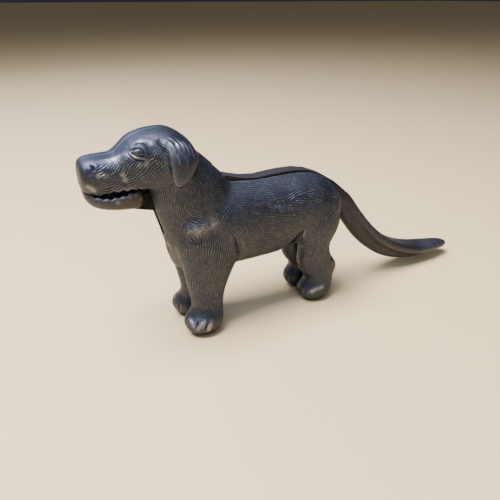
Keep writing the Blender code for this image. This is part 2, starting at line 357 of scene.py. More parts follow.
mouthForm = {
    "toothPitch": 4.2,
    "toothDepth": 1.15,
    "rimDepth": 0.8,
    # x, z along the upper lip's edge, then the curve behind the jaw
    "lip": [
        (3.0, 100.7), (8.7, 100.8), (13.2, 101.3), (17.1, 101.9), (20.9, 102.0), (26.0, 101.6),
        (29.8, 100.6),
    ],
    "back": [(32.2, 98.9), (33.6, 96.0), (33.2, 91.6), (34.6, 86.0)],
    "front": [(20.0, 82.0), (-6.0, 82.0), (-6.0, 102.2), (0.4, 102.1), (1.6, 101.7)],
    # x, z along the edge of the lower jaw
    "rim": [
        (-1.5, 101.6), (1.6, 101.4), (4.9, 99.5), (7.8, 98.8), (11.4, 97.9), (15.0, 98.1),
        (19.2, 98.3), (22.0, 99.2), (24.8, 99.3), (28.4, 98.4), (30.4, 97.6),
    ],
    "hollowHalf": 7.2,  # half width of the hollow in the jaw, inside its rim
    "rimHeight": 1.3,
    "lipCut": 70.0,  # half widths of the cutters, wider than the head and the jaw
    "rimCut": 30.0,
}


def wholeForm():
    bm = bmesh.new()
    addLoft(bm, onMiddle(dogForm["torso"]), lean=0)
    addLoft(bm, onMiddle(dogForm["head"]), lean=0, power=dogForm["headPower"])
    addLoft(bm, onMiddle(dogForm["neck"]), lean=dogForm["neckLean"])
    for side in (-1, 1):
        for limb in ("frontLeg", "hindLeg", "ear"):
            addLoft(bm, onSide(dogForm[limb], side), lean=-90)
        for x, y, z, *halfSizes in dogForm["swellings"]:
            addBall(bm, x, y * side, z, *halfSizes)
    form = meshObject("bodyLeft", bm)
    runTogether(form, dogForm["voxel"], dogForm["softRounds"])
    return form


def turned(point, degrees):
    # a point of the lever after its tail has been lifted
    a = math.radians(degrees)
    x, z = point[0] - carving["pivot"][0], point[1] - carving["pivot"][1]
    return (
        carving["pivot"][0] + x * math.cos(a) - z * math.sin(a),
        carving["pivot"][1] + x * math.sin(a) + z * math.cos(a),
    )


def slotOutline():
    # the room that the bar sweeps, from rest to a little past its highest
    gap = carving["barClearance"]
    swing = barForm["slotSwing"]
    floor = [(x, z - gap) for x, z in barForm["lower"][4:]]
    floor[-1] = (200.0, 26.0)
    hub = [turned((x, z + 2 * gap), swing) for x, z in barForm["upper"][12:10:-1]]
    throat = [turned((x, z - gap), swing) for x, z in barForm["lower"][3:0:-1]]
    roof = [(24.0, 96.0 + gap), (60.0, 96.0 + gap)] + hub + [turned((130.0, 110.0), swing)]
    back = [(240.0, 160.0), (260.0, 60.0)]
    return roof + back + floor[::-1] + throat + [turned((8.0, 92.0), swing), (14.0, 84.0)]


def scallops(edge, depth, steps=6):
    # round bites along an edge, with points between them; depth is which way the points stand
    edge = smoothRows(edge, 8)
    first, last = edge[0][0], edge[-1][0]
    count = round((last - first) / mouthForm["toothPitch"])
    result = []
    for i in range(count * steps + 1):
        x = first + (last - first) * i / (count * steps)
        point = abs(math.cos(math.pi * i / steps)) ** 2.2
        result.append((x, np.interp(x, edge[:, 0], edge[:, 1]) + depth * point))
    return result


def mouthOutline():
    lip = scallops(mouthForm["lip"], -mouthForm["toothDepth"])
    return lip + mouthForm["back"] + mouthForm["front"]


dogLeft = wholeForm()
report(f"the run-together form has {len(dogLeft.data.vertices)} points")
skinTree = BVHTree.FromObject(dogLeft, bpy.context.evaluated_depsgraph_get())
far = carving["clear"]
cutBy(dogLeft, block("halfSpace", (-far, -far, 0.0), (far, -carving["seamGap"] / 2, far)), "INTERSECT")
barHalf = carving["barThickness"] / 2
cutBy(dogLeft, plate("slot", slotOutline(), barHalf + carving["barClearance"]))
cutBy(dogLeft, plate("mouth", mouthOutline(), mouthForm["lipCut"]))
socketRadius = carving["trunnion"][0] + carving["socketGap"][0]
socketReach = barHalf + carving["trunnion"][1] + carving["socketGap"][1]
cutBy(dogLeft, rod("socket", *carving["pivot"], socketRadius, socketReach))
report(f"cut half: {countTriangles(dogLeft.data)} triangles")


def refine(thing, levels=1):
    # large cut faces become triangles, then every face is split in four
    bm = bmesh.new()
    bm.from_mesh(thing.data)
    bmesh.ops.triangulate(bm, faces=[f for f in bm.faces if len(f.verts) > 4])
    bmesh.ops.dissolve_degenerate(bm, dist=1e-4, edges=bm.edges[:])
    bm.to_mesh(thing.data)
    bm.free()
    finer = thing.modifiers.new("finer", "SUBSURF")
    finer.subdivision_type = "SIMPLE"
    finer.levels = levels
    freeze(thing)


refine(dogLeft)
report(f"finer half: {countTriangles(dogLeft.data)} triangles")


def splitWhere(thing, chosen):
    # faces that hold fine carving are split once more
    bm = bmesh.new()
    bm.from_mesh(thing.data)
    bm.verts.ensure_lookup_table()
    picked = [e for e in bm.edges if chosen[e.verts[0].index] and chosen[e.verts[1].index]]
    bmesh.ops.subdivide_edges(bm, edges=picked, cuts=1, use_grid_fill=True)
    bmesh.ops.triangulate(bm, faces=[f for f in bm.faces if len(f.verts) > 4])
    bm.to_mesh(thing.data)
    bm.free()


def distanceTo(points, path):
    # distance to a line of points, and how far along it (0 to 1) the nearest place is
    path = np.array(path, float)
    legs = np.linalg.norm(np.diff(path, axis=0), axis=1)
    before = np.concatenate([[0], np.cumsum(legs)])
    best = np.full(len(points), 1e9)
    along = np.zeros(len(points))
    for i, leg in enumerate(legs):
        step = path[i + 1] - path[i]
        t = ((points - path[i]) @ step / (leg * leg)).clip(0, 1)
        gap = np.linalg.norm(points - path[i] - t[:, None] * step, axis=1)
        closer = gap < best
        best[closer] = gap[closer]
        along[closer] = (before[i] + t[closer] * leg) / before[-1]
    return best, along


def near(points, path, reach):
    low, high = np.min(path, axis=0) - reach, np.max(path, axis=0) + reach
    return np.flatnonzero(((points > low) & (points < high)).all(axis=1))


def onSurface(tree, path):
    return [tuple(tree.find_nearest(Vector(p))[0]) for p in smoothRows(path)]


def seenFromSide(tree, path):
    # where points out at the side meet the dog's flank, looking across it
    hits = [tree.ray_cast(Vector((x, -60, z)), Vector((0, 1, 0)))[0] for x, _, z in path]
    return [tuple(h) for h in hits if h]


def carve(points, normals, path, width, depth, fade=0.15):
    # a groove (depth below 0) or ridge along a path; fade tapers its ends
    chosen = near(points, path, 3 * width)
    gap, along = distanceTo(points[chosen], path)
    ends = np.minimum(along, 1 - along) / fade if fade else 1.0
    amount = depth * np.exp(-((gap / width) ** 2)) * np.clip(ends, 0, 1) ** 0.7
    points[chosen] += normals[chosen] * amount[:, None]


def swell(points, normals, centre, sizes, height):
    # a soft hump, or a hollow where height is below 0
    away = (((points - centre) / sizes) ** 2).sum(axis=1)
    points += normals * (height * np.exp(-away))[:, None]


def ease(x, low, high):
    t = ((x - low) / (high - low)).clip(0, 1)
    return t * t * (3 - 2 * t)


furForm = {
    "spacing": 2.6,  # mm for each pair of strands
    "spacingDrift": (0.14, 11.0),  # how much it changes, over how many mm
    "depth": 0.22,  # mm
    "headDepth": 0.23,
    "headLine": (0.9, 80.0, 24.0, 50.0),  # slope and level of the line behind the head, its two ends
    "combReach": 2.7,  # mm, how far one wave carries
    "combGap": 2.1,  # mm between waves
    "combShares": (2.2, 2.0, 0.75),  # of the reach: which waves are heard, painted, and how softly
    "combTurn": (0.3, 0.2),  # waves and points that face further apart than this keep out
    "waver": (13.0, 9.0),  # degrees, mm
    "headWaver": (14.0, 5.5),  # on top of that
    "rounds": 11,  # fewer leave more strands broken off
    "agreed": (0.05, 0.35),  # strands show where the waves agree at least this well
    "guideSoftness": (6.0, 2.2),
    # how the hair lies, seen from the side: x, z, angle above the way to the tail
    "guides": [
        (8, 106, 8), (9, 112, 20), (14, 104, 14), (14, 110, 34), (15, 116, 45),
        (19, 104, 24), (19, 112, 48), (20, 118, 55), (24, 105, 28), (24, 112, 36),
        (30, 105, 34), (30, 112, 38), (36, 102, 50), (36, 109, 44), (40, 100, 66),
        (40, 108, 52), (38, 93, 84), (38, 85, 104), (36, 78, 106), (44, 97, 74),
        (44, 88, 98), (44, 78, 108), (43, 68, 100), (44, 58, 92), (50, 95, 66),
        (50, 88, 92), (50, 81, 140), (46, 122, 124), (52, 120, 116), (48, 113, 100),
        (54, 113, 96), (48, 106, 84), (55, 124, 134), (58, 100, 100), (56, 90, 122),
        (55, 82, 154), (53, 74, 142), (50, 68, 104), (51, 58, 92), (62, 112, 122),
        (64, 104, 132), (66, 96, 138), (64, 88, 140), (62, 80, 160), (60, 71, 100),
        (57, 62, 88), (63, 62, 78), (66, 76, 78), (68, 68, 76), (56, 52, 112),
        (52, 48, 116), (62, 50, 124), (62, 44, 124), (52, 40, 96), (58, 38, 98),
        (70, 50, 60), (71, 42, 58), (69, 36, 74), (57, 30, 98), (64, 30, 84), (72, 58, 84),
        (76, 100, 146), (74, 92, 142), (74, 84, 132), (74, 76, 112), (74, 67, 92),
        (84, 94, 158), (84, 86, 158), (84, 77, 122), (84, 67, 106), (90, 73, 122),
        (92, 66, 130), (94, 84, 166), (97, 76, 166), (104, 90, 174), (104, 82, 176),
        (104, 74, 176), (102, 64, 156), (102, 52, 174), (116, 90, 180), (116, 80, 178),
        (114, 71, 172), (112, 58, 160), (114, 52, 172), (128, 90, 178), (128, 82, 176),
        (126, 74, 168), (123, 66, 120), (130, 66, 84), (134, 76, 140), (138, 90, 162),
        (140, 82, 150), (141, 74, 108), (138, 64, 84), (130, 56, 84), (140, 54, 84),
        (148, 88, 148), (150, 80, 126), (153, 72, 102), (152, 62, 92), (148, 56, 76),
        (134, 44, 88), (142, 42, 104), (146, 34, 118), (138, 33, 104), (90, 48, 178),
    ],
}


def hairAngle(where):
    # angles are doubled before they are mixed, since hair has no front end
    guides = np.array(furForm["guides"], float)
    double = np.radians(guides[:, 2]) * 2
    gaps = ((where[:, None, (0, 2)] - guides[None, :, :2]) ** 2).sum(axis=2)
    softness, power = furForm["guideSoftness"]
    weight = 1 / (gaps + softness) ** power
    rise, run = (weight * np.sin(double)).sum(axis=1), (weight * np.cos(double)).sum(axis=1)
    return 0.5 * np.arctan2(rise, run)


def slowNoise(where, size, seed):
    # smooth unseamed noise from a few turned waves, about -1 to 1
    maker = np.random.default_rng(seed)
    total = np.zeros(len(where))
    for _ in range(14):
        way = maker.normal(size=3)
        way *= 2 * math.pi / (size * maker.uniform(0.8, 1.6)) / np.linalg.norm(way)
        total += np.sin(where @ way + maker.uniform(0, 2 * math.pi))
    return total / 3.8


def bodyShare(where):
    # 0 on the head, 1 from the neck on
    slope, level, low, high = furForm["headLine"]
    return ease(where[:, 0] - slope * (where[:, 2] - level), low, high)


def layHair(where, normals):
    # for each point, the way across the hair, lying in the surface
    waver, size = furForm["waver"]
    angle = hairAngle(where) + np.radians(waver) * slowNoise(where, size, 4)
    waver, size = furForm["headWaver"]
    angle += np.radians(waver) * (1 - bodyShare(where)) * slowNoise(where, size, 21)
    lie = np.stack([np.cos(angle), np.zeros(len(where)), np.sin(angle)], axis=1)
    lie -= normals * (lie * normals).sum(axis=1)[:, None]
    size = np.linalg.norm(lie, axis=1)[:, None]
    lie = lie / size.clip(1e-3)
    across = np.cross(normals, lie)
    return across / np.linalg.norm(across, axis=1)[:, None].clip(1e-6)


def treeOf(places):
    tree = KDTree(len(places))
    for i, place in enumerate(places):
        tree.insert(place, i)
    tree.balance()
    return tree


def combHair(points, normals, wanted):
    # waves that keep step with their neighbours: returns their sum at each point, a complex
    # number whose angle is the phase, and how well they agree there
    cells = np.floor(points / furForm["combGap"]).astype(int)
    # the mesh numbers its points differently from run to run, so they are drawn by their places
    byPlace = np.lexsort(points.round(3).T)
    order = np.random.default_rng(7).permutation(byPlace[wanted[byPlace]])
    _, first = np.unique(cells[order], axis=0, return_index=True)
    seeds = order[np.sort(first)]
    homes = points[seeds]
    across = layHair(homes, normals[seeds])
    drift, driftSize = furForm["spacingDrift"]
    pitch = furForm["spacing"] * (1 + drift * slowNoise(homes, driftSize, 6))
    waves = across * (2 * math.pi / pitch)[:, None]
    phase = np.random.default_rng(8).uniform(0, 2 * math.pi, len(seeds))
    reach = furForm["combReach"]
    heard, painted, softness = (share * reach for share in furForm["combShares"])
    homeTree = treeOf(homes)
    pairs = []
    for i, home in enumerate(homes):
        pairs += [(i, j) for _, j, _ in homeTree.find_range(home, heard) if i != j]
    a, b = np.array(pairs).T
    facing = (normals[seeds][a] * normals[seeds][b]).sum(axis=1)
    keep = facing > furForm["combTurn"][0]
    a, b = a[keep], b[keep]
    gap = homes[a] - homes[b]
    weight = np.exp(-((gap**2).sum(axis=1)) / (2 * reach**2))
    same = np.sign((across[a] * across[b]).sum(axis=1))
    # steps taken from b's home to a's by b's own wave
    step = (waves[b] * gap).sum(axis=1)
    for _ in range(furForm["rounds"]):
        carried = np.exp(1j * same * (phase[b] + step)) * weight
        total = np.bincount(a, carried.real, len(seeds)) + 1j * np.bincount(a, carried.imag, len(seeds))
        phase = np.angle(total + 1e-9)
    wave = np.zeros(len(points), complex)
    total = np.zeros(len(points))
    todo = np.flatnonzero(wanted)
    pointTree = treeOf(points[todo])
    # the nearest wave's way is found first, so that all are added facing alike
    nearest = np.array([homeTree.find(points[i])[1] for i in todo])
    guide = np.zeros_like(points)
    guide[todo] = across[nearest]
    for i, home in enumerate(homes):
        found = todo[[k for _, k, _ in pointTree.find_range(home, painted)]]
        found = found[normals[found] @ normals[seeds[i]] > furForm["combTurn"][1]]
        away = points[found] - home
        strength = np.exp(-((away**2).sum(axis=1)) / (2 * softness**2))
        way = np.sign(guide[found] @ across[i])
        wave[found] += strength * np.exp(1j * way * (away @ waves[i] + phase[i]))
        total[found] += strength
    agree = abs(wave) / total.clip(1e-6)
    return wave, agree


# lines of the carving, each a path of x, y, z on the near side
faceForm = {
    "lowerLid": [
        (24.0, -11.3, 121.0), (24.9, -12.6, 119.7), (26.5, -13.6, 118.5), (28.6, -14.6, 117.9),
        (30.8, -14.9, 117.5), (32.3, -15.4, 117.7),
    ],
    "underLid": [
        (23.3, -11.0, 120.4), (24.6, -12.8, 118.7), (26.6, -14.0, 117.3), (29.0, -14.9, 116.8),
        (31.4, -15.4, 116.7),
    ],
    "ballBelow": [
        (24.6, -11.8, 121.0), (25.6, -13.5, 120.1), (27.0, -14.6, 119.4), (28.9, -15.2, 119.1),
        (30.6, -15.5, 118.8),
    ],
    "ballAbove": [
        (24.9, -11.7, 121.6), (26.2, -12.5, 122.4), (27.7, -13.0, 122.7), (29.2, -13.4, 122.5),
        (30.3, -14.3, 121.5), (31.0, -15.0, 120.0),
    ],
    "upperLid": [
        (24.2, -11.0, 121.5), (25.4, -11.4, 122.6), (27.1, -12.0, 123.5), (29.1, -12.5, 123.6),
        (30.9, -13.6, 122.7), (31.8, -14.6, 121.0), (32.2, -15.2, 119.0),
    ],
    "upperFold": [
        (25.6, -10.6, 123.9), (27.4, -10.9, 124.6), (29.6, -11.6, 124.9), (31.6, -12.7, 124.2),
        (33.0, -13.9, 122.4), (33.6, -14.8, 120.4),
    ],
    "brow": [
        (24.3, -9.0, 123.2), (27.4, -9.8, 125.5), (30.4, -10.5, 126.4), (33.6, -12.3, 126.0),
        (35.4, -13.7, 124.6), (36.0, -14.8, 121.8),
    ],
    "underEye": [
        (25.8, -13.9, 115.2), (27.6, -14.5, 114.4), (30.0, -15.1, 114.3), (32.3, -15.5, 114.8),
    ],
    "nostril": [
        (4.7, -8.4, 116.0), (5.8, -9.8, 115.2), (6.0, -10.5, 113.9), (5.3, -10.8, 112.6),
        (4.2, -10.9, 111.2), (3.4, -10.7, 110.0),
    ],
    "muzzleSpine": [
        (22.4, -11.6, 118.6), (20.6, -12.2, 115.0), (20.0, -12.8, 110.0), (20.6, -13.0, 105.0),
    ],
    "muzzleEdge": [(10.0, -7.0, 117.6), (16.4, -7.2, 117.6), (19.2, -8.3, 118.8), (22.3, -10.4, 120.4)],
    "earFront": [
        (39.0, -12.2, 125.8), (40.3, -14.7, 123.4), (41.2, -16.5, 121.0), (42.0, -18.4, 117.0),
        (42.3, -19.0, 112.0), (42.6, -19.0, 107.0), (43.8, -18.6, 103.0), (46.0, -17.6, 100.0),
    ],
    "earBack": [
        (46.4, -17.4, 99.4), (50.0, -18.0, 101.4), (53.4, -18.2, 104.4), (57.0, -16.4, 107.2),
        (59.2, -14.2, 110.2),
    ],
    "elbow": [(76.8, -22, 68.0), (77.8, -21.8, 63.0), (79.6, -20.4, 56.0), (82.0, -16.5, 49.0)],
}


earLocks = [
    # start and end of each lock of hair on top of the ear: x, z, x, z, height
    (42.6, 125.6, 46.2, 119.6, 0.5),
    (44.6, 126.4, 49.0, 120.0, 0.55),
    (47.6, 126.2, 51.4, 119.0, 0.45),
    (50.6, 125.0, 53.4, 117.0, 0.4),
    (53.6, 122.8, 55.6, 114.6, 0.35),
    (45.6, 119.8, 46.8, 112.8, 0.3),
    (50.2, 117.6, 50.6, 110.6, 0.25),
]


def lockPath(x0, z0, x1, z1, steps=6):
    # bows out towards the tail
    for i in range(steps + 1):
        t = i / steps
        bow = 0.9 * math.sin(math.pi * t)
        yield (x0 + (x1 - x0) * t + bow, -22.0, z0 + (z1 - z0) * t + 0.4 * bow)


pawForm = {
    # middle of each paw, then the grooves between its toes: degrees round to the near side
    "front": ((58.4, 12.3), (-30, -2)),
    "hind": ((143.2, 10.2), (-14, 26)),
    "toeDepths": (-0.6, -0.35),  # front, hind
    "streaks": [
        [(48.1, -13.9, 12.5), (48.7, -16.6, 11.4), (49.3, -19.3, 10.3)],
        [(51.2, -20.8, 8.4), (53.0, -21.5, 10.5), (55.5, -21.4, 12.3)],
        [(57.7, -22.5, 6.2), (58.4, -22.8, 9.3), (59.9, -22.0, 12.1)],
        [(135.7, -18.2, 10.2), (138.0, -18.8, 11.5), (140.9, -19.3, 12.2), (143.3, -19.5, 12.4)],
    ],
    "gaps": [
        [(49.8, -20.3, 8.5), (50.9, -20.2, 11.1), (52.0, -19.3, 12.8)],
        [(55.5, -22.4, 6.5), (56.1, -22.7, 9.6), (57.6, -21.8, 12.3)],
    ],
    "rise": (4.0, 14.0),  # from the sole to the top of the toes
}


def toeGrooves():
    low, high = pawForm["rise"]
    for (x, y), turns in (pawForm["front"], pawForm["hind"]):
        for turn in turns:
            way = Vector((-math.cos(math.radians(turn)), -math.sin(math.radians(turn)), 0))
            path = []
            for k in range(7):
                t = k / 6
                height = low + t * (high - low)
                start = Vector((x, -y, height)) + way * (1 - 0.25 * t) * 4
                hit = tree.ray_cast(start, way)[0]
                if hit:
                    path.append(tuple(hit))
            yield path


fineParts = [((27.5, 120.5), 9.0), ((4.6, 112.8), 6.0)]
points, edges = getPoints(dogLeft.data), getEdges(dogLeft.data)
skinGap = 0.04  # mm, points nearer than this to the uncut form are on its skin
onSkin = np.array([skinTree.find_nearest(Vector(p))[3] for p in points]) < skinGap
inner = relax(onSkin.astype(float), edges, 2)
points = relax(points, edges, 3, weight=(inner > 0.999).astype(float))
setPoints(dogLeft.data, points)
setAttribute(dogLeft.data, "skin", inner)
chosen = np.zeros(len(points), bool)
for (x, z), reach in fineParts:
    chosen |= ((points[:, 0] - x) ** 2 + (points[:, 2] - z) ** 2 < reach**2) & (points[:, 1] < -6)
splitWhere(dogLeft, chosen)

# 1 on the cast skin, 0 on the faces of the seam, slot and mouth
points, edges = getPoints(dogLeft.data), getEdges(dogLeft.data)
inner = getAttribute(dogLeft.data, "skin")
skinWeight = ease(inner, 0.5, 0.999)
normals = getNormals(dogLeft.data)
normals = relax(normals, edges, 6)
normals /= np.linalg.norm(normals, axis=1)[:, None].clip(1e-6)
report(f"{len(points)} points, {countTriangles(dogLeft.data)} triangles, skin share {inner.mean():.2f}")

x, y, z = points.T


bareForm = {
    # ovals seen from the side: middle x, z, half length, half height
    "ovals": [
        (1.0, 112.0, 7.0, 14.0),  # nose
        (28.0, 121.0, 7.0, 4.4),  # eye
        (58.2, 8.0, 16.0, 9.5),  # front paw
        (144.0, 9.0, 16.0, 15.0),  # hind paw
        (150.5, 24.0, 6.0, 7.0),  # hock
    ],
    "ear": (50.5, 113.0, 9.5, 14.5),
    "earFur": 0.34,  # what is left of the strands on the ear
    "edge": (0.86, 1.12),  # of an oval's size
}


def furShare(x, z):
    # 1 on fur, 0 where it is worn or cast smooth: nose, eye, skull and paws
    def outside(cx, cz, rx, rz):
        away = np.sqrt(((x - cx) / rx) ** 2 + ((z - cz) / rz) ** 2)
        return ease(away, *bareForm["edge"])

    fur = np.ones(len(x))
    for oval in bareForm["ovals"]:
        fur = np.minimum(fur, outside(*oval))
    fur *= bareForm["earFur"] + (1 - bareForm["earFur"]) * outside(*bareForm["ear"])
    crown = 117.2 + 0.33 * (x - 16).clip(0, 12) + 0.5 * (x - 32).clip(0, 8)
    fur *= 1 - ease(z - crown, -2.5, 0.5) * (1 - ease(x, 56, 64))
    return fur


shoulderFolds = [
    [(48.6, -18.6, 73.0), (52.0, -21.0, 76.0), (56.0, -21.8, 78.2)],
    [(52.6, -20.5, 71.6), (56.6, -22.0, 75.0), (61.6, -21.8, 78.2)],
    [(57.4, -21.2, 71.4), (61.6, -21.8, 75.0), (66.6, -20.6, 79.0)],
]

# the hollow between belly and thigh: its top, then how the two edges lean below it
foldForm = {"top": (125.2, 65.2), "belly": -0.66, "thigh": 0.13, "depth": 5.6}


def flankPocket(x, y, z):
    down = foldForm["top"][1] - z
    left = x - foldForm["top"][0] - foldForm["belly"] * down
    right = foldForm["top"][0] + 0.6 + foldForm["thigh"] * down - x
    share = ease(left, 0.0, 6.0) * ease(right, 0.0, 4.0) * ease(down, 0.0, 12.0)
    return share * ease(-y, 7.0, 14.0) * (1 - ease(down, 16.0, 24.0))


pocket = flankPocket(x, y, z) * skinWeight
insideLeg = ease(normals[:, 1], 0.1, 0.6) * ease(62 - z, 0, 8)
fur = furShare(x, z) * skinWeight * (1 - 0.7 * pocket) * (1 - 0.85 * insideLeg)
tree = BVHTree.FromObject(dogLeft, bpy.context.evaluated_depsgraph_get())
marks = {name: onSurface(tree, path) for name, path in faceForm.items()}

# humps and hollows: middle, three sizes, height, which is below 0 for a hollow
bodySwells = [
    ((67.0, -22.0, 70.0), (5.0, 5.0, 6.0), -0.5),  # behind the point of the shoulder
    ((56.0, -20.0, 69.0), (8.0, 6.0, 2.6), -0.5),  # and below it
    ((157.0, -17.0, 70.0), (9.0, 8.0, 11.0), -1.9),  # rump
    ((148.0, -19.0, 44.5), (5.5, 7.0, 7.0), -1.3),  # above the hock
    ((151.5, -17.2, 29.5), (3.5, 5.0, 3.0), 0.5),  # hock
]
eyeSwells = [((28.2, -14.0, 121.0), (3.0, 3.0, 1.9), 0.3)]
nostrilSwells = [
    ((3.9, -9.6, 114.6), (1.1, 1.4, 1.3), 0.45),
    ((7.4, -9.9, 115.2), (1.1, 1.4, 1.5), 0.45),
]

# lines: path, its first and last point, width, depth (below 0 cuts in), how much of each end fades
softLines = [
    ("elbow", 0, None, 2.3, -1.3, 0.3),
    ("brow", 0, None, 1.7, 0.35, 0.3),
    ("muzzleEdge", 0, None, 1.4, 0.25, 0.3),
    ("earFront", 0, 20, 1.4, -0.9, 0.2),
    ("earFront", 14, None, 1.1, -0.5, 0.2),
    ("earBack", 0, None, 1.1, -0.7, 0.3),
]
eyeLines = [
    ("ballBelow", 0, None, 0.42, -0.55, 0.15),
    ("ballAbove", 0, None, 0.38, -0.45, 0.15),
    ("lowerLid", 0, None, 0.6, 0.45, 0.12),
    ("upperLid", 0, None, 0.45, 0.28, 0.12),
    ("underLid", 0, None, 0.55, -0.42, 0.2),
    ("upperFold", 0, None, 0.5, -0.4, 0.25),
    ("underEye", 0, None, 0.8, 0.22, 0.35),
]
nostrilLines = [
    ("nostril", 0, 11, 0.62, -0.7, 0.35),
    ("nostril", 10, None, 0.4, 0.2, 0.35),
]
muzzleLines = [("muzzleSpine", 0, None, 0.8, 0.25, 0.3)]


def raiseSwells(rows):
    for row in rows:
        swell(points, normals, *row)


def cutLines(rows):
    for name, first, last, *cut in rows:
        carve(points, normals, marks[name][first:last], *cut)


# big soft forms first, fine ones on top of them
for path in shoulderFolds:
    carve(points, normals, onSurface(tree, path), 1.4, 0.3, 0.3)
raiseSwells(bodySwells)
points[:, 1] += foldForm["depth"] * pocket
cutLines(softLines)
for path in toeGrooves():
    toeDepth = pawForm["toeDepths"][0 if path[0][0] < 100 else 1]
    carve(points, normals, path, 0.9, toeDepth, 0.45)
for path in pawForm["gaps"]:
    carve(points, normals, onSurface(tree, path), 0.7, -0.7, 0.3)
for path in pawForm["streaks"]:
    carve(points, normals, onSurface(tree, path), 0.7, 0.25, 0.3)
raiseSwells(eyeSwells)
cutLines(eyeLines)
cutLines(nostrilLines)
raiseSwells(nostrilSwells)
cutLines(muzzleLines)
for *ends, height in earLocks:
    carve(points, normals, seenFromSide(tree, lockPath(*ends)), 0.55, height, 0.4)

body = bodyShare(points)
wave, agree = combHair(points, normals, fur > 0.02)
report("hair combed")
phase = np.angle(wave)
groove = 0.6 - 1.3 * abs(np.cos(phase)) ** 0.8 - 0.45 * np.cos(phase)  # every other groove is deeper
lively = 0.8 + 0.16 * slowNoise(points, 17, 5) + 0.42 * slowNoise(points, 4.5, 12)
strands = ease(agree, *furForm["agreed"]) * lively.clip(0.25, 1.3)
depth = furForm["headDepth"] + (furForm["depth"] - furForm["headDepth"]) * body
points += normals * (0.5 * groove * (fur * depth * strands))[:, None]
points[:, 1] = points[:, 1].clip(-carving["widest"], carving["widest"])
setPoints(dogLeft.data, points)
setAttribute(dogLeft.data, "combCos", np.cos(phase))
setAttribute(dogLeft.data, "combSin", np.sin(phase))
setAttribute(dogLeft.data, "fur", fur * strands)


def reliefOf(mesh, rounds=10):
    # how far each point stands above its surroundings, about -1 to 1
    points, edges = getPoints(mesh), getEdges(mesh)
    smooth = relax(points, edges, rounds)
    normals = getNormals(mesh)
    return (((points - smooth) * normals).sum(axis=1) / 0.16).clip(-1, 1)


def patch(points, places, reach):
    # soft spots round some places
    total = np.zeros(len(points))
    for place in places:
        total = np.maximum(total, np.exp(-(((points - place) / reach) ** 2).sum(axis=1)))
    return total


# the point of the shoulder: worn to bare metal, with a painted highlight laid over it
shoulderWearAndHighlight = [(54, -22, 75), (59, -22, 76.5), (64, -21, 78)]
speckedPlaces = [
    (1.9, -10.3, 105.8),
    (3.1, -10.6, 104.7),
    (4.4, -10.8, 103.4),
    (7.3, -11.5, 111.1),
    (10.2, -11.7, 110.7),
    (13.9, -7.8, 117.4),
    (16.5, -7.4, 117.9),
    (18.8, -8.6, 118.5),
    (19.4, -12.7, 110.2),
    (20.0, -12.8, 107.4),
    (23.5, -11.2, 120.1),
    (25.6, -14.1, 119.0),
    (28.0, -14.0, 115.0),
    (31.0, -15.0, 115.0),
    (30.0, -11.0, 126.0),
    (35.0, -13.5, 124.5),
    (41.2, -13.8, 124.2),
    (44.4, -15.2, 123.6),
    (47.8, -16.0, 122.9),
]
setAttribute(dogLeft.data, "relief", reliefOf(dogLeft.data))
streakPlaces = np.vstack([smoothRows(path) for path in pawForm["streaks"]])
rubbed = np.maximum(0.6 * patch(points, shoulderWearAndHighlight, 3.2), 0.75 * patch(points, speckedPlaces, 1.3))
rubbed = np.maximum(rubbed, 0.9 * patch(points, streakPlaces, 1.3))
setAttribute(dogLeft.data, "rubbed", rubbed)
setAttribute(dogLeft.data, "rusty", np.zeros(len(points)))
# painted shade on the faces of the seam, slot and mouth, where the halves keep the light out
setAttribute(dogLeft.data, "inside", 1 - ease(inner, 0.4, 0.9))


leverForm = {
    "voxel": 0.8,
    "softRounds": 5,
    "edgeVoxel": 0.62,
    "powers": {"jaw": 2.5, "keel": 2.4, "pad": 3.0},  # how square each one is across
    "jawEnd": (28.0, 36.0),  # x, where the jaw's wear fades out
    "tailEnd": (235.0, 262.0),  # and where the tail's sets in
    "jawSpecks": [
        (18.6, -11.2, 97.3),
        (21.8, -11.1, 97.3),
        (25.1, -10.6, 97.6),
        (27.7, -10.2, 95.4),
        (15.2, -11.5, 95.3),
    ],
    "jawRust": [(18, -11, 93), (24, -11, 92)],
    # x, z, half height, half width
    "jaw": [
        (-0.2, 99.9, 2.4, 4.4),
        (0.8, 99.2, 3.8, 7.0),
        (3.4, 97.6, 5.2, 9.6),
        (8.2, 96.2, 6.0, 11.1),
        (14.7, 95.2, 6.5, 11.6),
        (20.7, 94.8, 6.8, 11.6),
        (25.4, 94.7, 7.1, 11.2),
        (28.4, 94.5, 5.8, 9.9),
        (29.9, 94.0, 3.6, 7.4),
    ],
    "keel": [
        (159.8, 72.3, 4.6, 3.6),
        (164.6, 68.0, 6.6, 5.0),
        (169.4, 62.8, 7.4, 5.5),
        (177.9, 51.3, 7.6, 5.8),
        (188.1, 38.6, 7.4, 5.8),
        (198.3, 28.8, 7.0, 5.8),
        (210.5, 19.9, 6.6, 5.8),
        (224.6, 13.6, 6.2, 5.6),
        (240.6, 9.8, 5.6, 5.2),
        (257.0, 8.8, 4.6, 4.4),
        (268.6, 9.0, 3.0, 3.2),
    ],
    "pad": [
        (166.0, 73.2, 1.8, 4.4),
        (173.0, 63.6, 2.8, 5.4),
        (179.6, 54.9, 3.4, 6.8),
        (189.6, 42.7, 3.7, 8.4),
        (200.0, 32.7, 3.9, 9.4),
        (211.4, 24.7, 3.9, 10.0),
        (224.5, 18.0, 3.8, 10.3),
        (240.0, 13.0, 3.6, 10.2),
        (255.5, 10.5, 3.3, 9.3),
        (266.8, 9.9, 2.6, 7.4),
        (274.2, 9.2, 2.4, 5.2),
        (278.0, 8.8, 1.6, 2.4),
    ],
}


